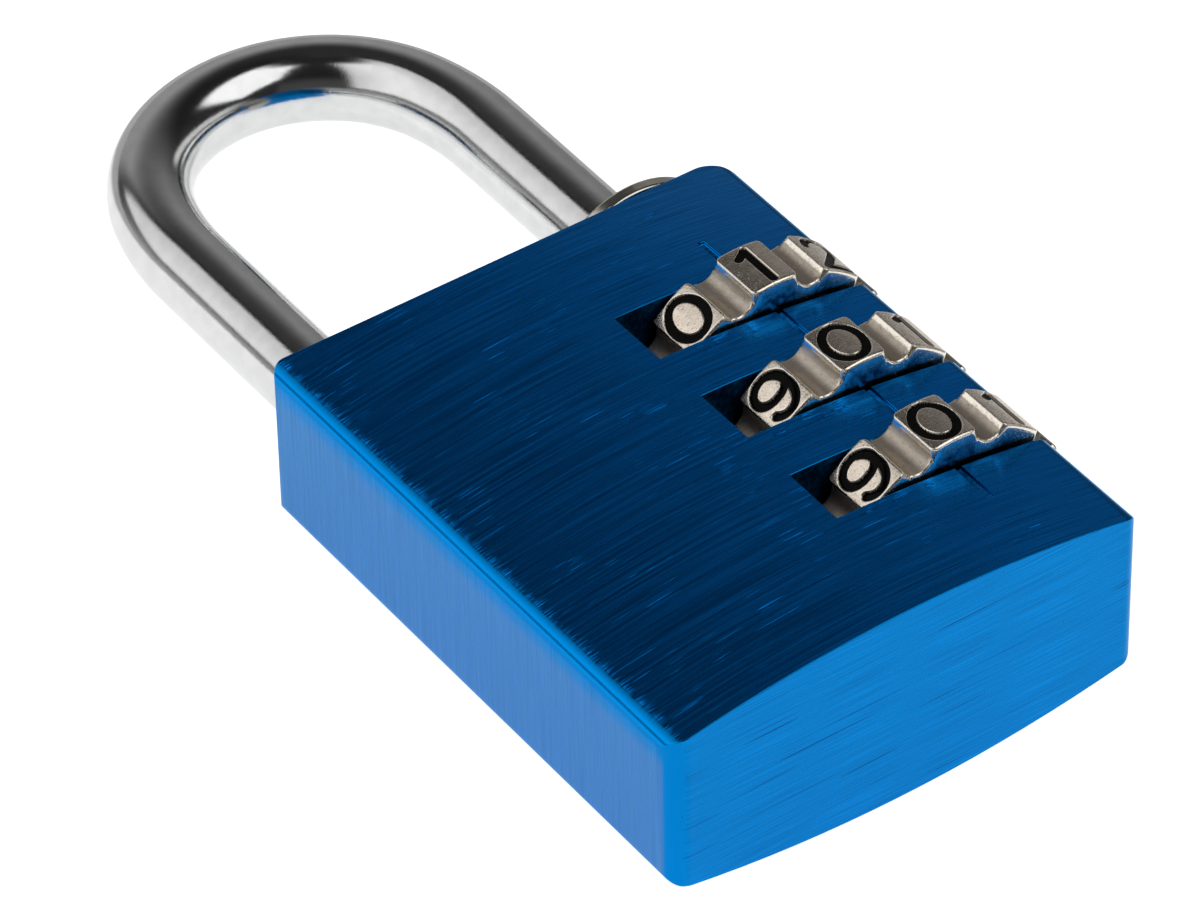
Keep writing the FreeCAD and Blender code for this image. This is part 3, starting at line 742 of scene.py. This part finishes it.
def make_world():
    """A dim room with a broad soft panel at the left, a high one at the right and a glow over the floor.

    Each is bounded by its azimuth, in degrees, and by z, which is the sine of the elevation.
    """
    world = bpy.data.worlds.new("studio")
    bpy.context.scene.world = world
    g = Graph(world)
    x, y, z = g.split(g.add("ShaderNodeTexCoord").outputs["Generated"])
    azimuth = g.math("DEGREES", g.math("ARCTAN2", x, y))        # 0 towards +Y, positive towards +X
    room = g.product(g.step(z, 0.38, 0.80, 0.33, 0.03), g.step(azimuth, -14.0, 0.0, 0.2, 1.0),
                     g.step(azimuth, 28.0, 82.0, 1.0, 0.08))
    left = g.product(g.between(azimuth, -120.0, -17.0, 5.0, 4.0), g.between(z, 0.25, 0.965, 0.05, 0.015),
                     g.step(azimuth, -120.0, -85.0, 0.72, 1.0), g.step(azimuth, -65.0, -25.0, 1.02, 0.74))
    # the right panel's lower edge hangs down in a point
    past_point = g.less(azimuth, RIGHT_PANEL_POINT)
    hang = g.most(g.product(past_point, -0.0058), g.product(past_point, 0.0107))
    over = g.less(z, RIGHT_PANEL_EDGE, hang)
    right = g.product(g.step(azimuth, 92.0, 106.0), g.step(over, -0.03, 0.05),
                      g.step(z, 0.95, 0.98, 1.25, 0.0))
    glow_right = g.product(g.between(azimuth, 70.0, 145.0, 5.0, 20.0), g.between(z, 0.13, 0.28, 0.03, 0.03),
                           GLOW_RIGHT)
    glow_left = g.product(g.between(azimuth, -165.0, -30.0, 15.0, 15.0), g.between(z, 0.0, 0.18, 0.05, 0.06),
                          GLOW_LEFT)
    light = g.total(glow_right, glow_left, right, left, g.most(room, ROOM_LEAST))
    strength = g.blend(g.add("ShaderNodeLightPath").outputs["Is Camera Ray"], light, 1.0)
    background = g.add("ShaderNodeBackground", {"Color": WHITE, "Strength": strength})
    g.add("ShaderNodeOutputWorld", {"Surface": background.outputs[0]})


def make_floor():
    """A pale floor that shows white to the eye and to metal, and keeps the lock's shadow."""
    made, g = material("floor")
    paths = g.add("ShaderNodeLightPath").outputs
    reflected = g.most(paths["Is Glossy Ray"], paths["Is Transmission Ray"])
    point, _ = g.coordinates()
    x, y, _ = g.split(point)
    beyond = g.step(g.math("MULTIPLY_ADD", x, FADE_SLANT, y), *FADE, 1.0, FLOOR_GREY)
    shown = g.blend(paths["Is Camera Ray"], g.product(reflected, beyond, FLOOR_TO_METAL), FLOOR_TO_EYE)
    tone = g.ramp(g.noise(point, scale=0.02, detail=3.0), 0.3, 0.7, 0.80, 0.84)
    g.surface(Base_Color=g.combine(tone, tone, tone), Roughness=0.9, Emission_Color=WHITE,
              Emission_Strength=shown)
    half = FLOOR_SIZE * MM / 2
    mesh = bpy.data.meshes.new("floor")
    corners = [(-half, -half, 0), (half, -half, 0), (half, half, 0), (-half, half, 0)]
    mesh.from_pydata(corners, [], [(0, 1, 2, 3)])
    mesh.materials.append(made)
    floor = bpy.data.objects.new("floor", mesh)
    bpy.context.scene.collection.objects.link(floor)
    # the plane touches the wheels' backs, circles about the dial axis, on the right
    tilt = math.radians(FLOOR_TILT)
    drop = dial_radius * MM
    touch = Vector((dial_axis[0] - drop * math.sin(tilt), dial_axis[1], -drop * math.cos(tilt)))
    floor.matrix_world = Matrix.Translation(touch) @ Matrix.Rotation(tilt, 4, "Y")


# ---- the scene
body_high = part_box("lock_body")[1]
washer_low, washer_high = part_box("thrust_washer")
dial_low, dial_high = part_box("dial_1")
wire_low, wire_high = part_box("shackle")
dial_axis = (washer_low + washer_high) / 2
dial_radius = (dial_high - dial_low)[2] / 2 / MM
wire_radius = (wire_high - wire_low)[2] / 2 / MM

make_camera()
make_world()
make_floor()

nickel = cast_nickel()
finishes = {"black_enamel": enamel(),
            "nickel_plate": turned_metal("nickel_plate", PLATE, 0.14, 0.26),
            "brass": turned_metal("brass", BRASS, 0.2, 0.4),
            "spring_steel": turned_metal("spring_steel", SPRING_STEEL, 0.18, 0.32),
            "hardened_steel": turned_metal("hardened_steel", HARD_STEEL, 0.25, 0.4)}

soft_edged("lock_body", anodised_aluminium(), "case", BODY_EDGE)
for name, shown in SHOWN.items():
    finished(name + "_cast", dial_mesh(name, shown), name, [name], nickel)
finished("bent_wire", shackle_mesh(), "shackle", ["shackle"], chrome())
squeezed_spring(finishes["spring_steel"])

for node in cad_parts.values():
    for place in node.material_slots:
        if place.material and place.material.name in finishes:
            place.material = finishes[place.material.name]

bpy.context.scene.view_settings.view_transform = "Standard"
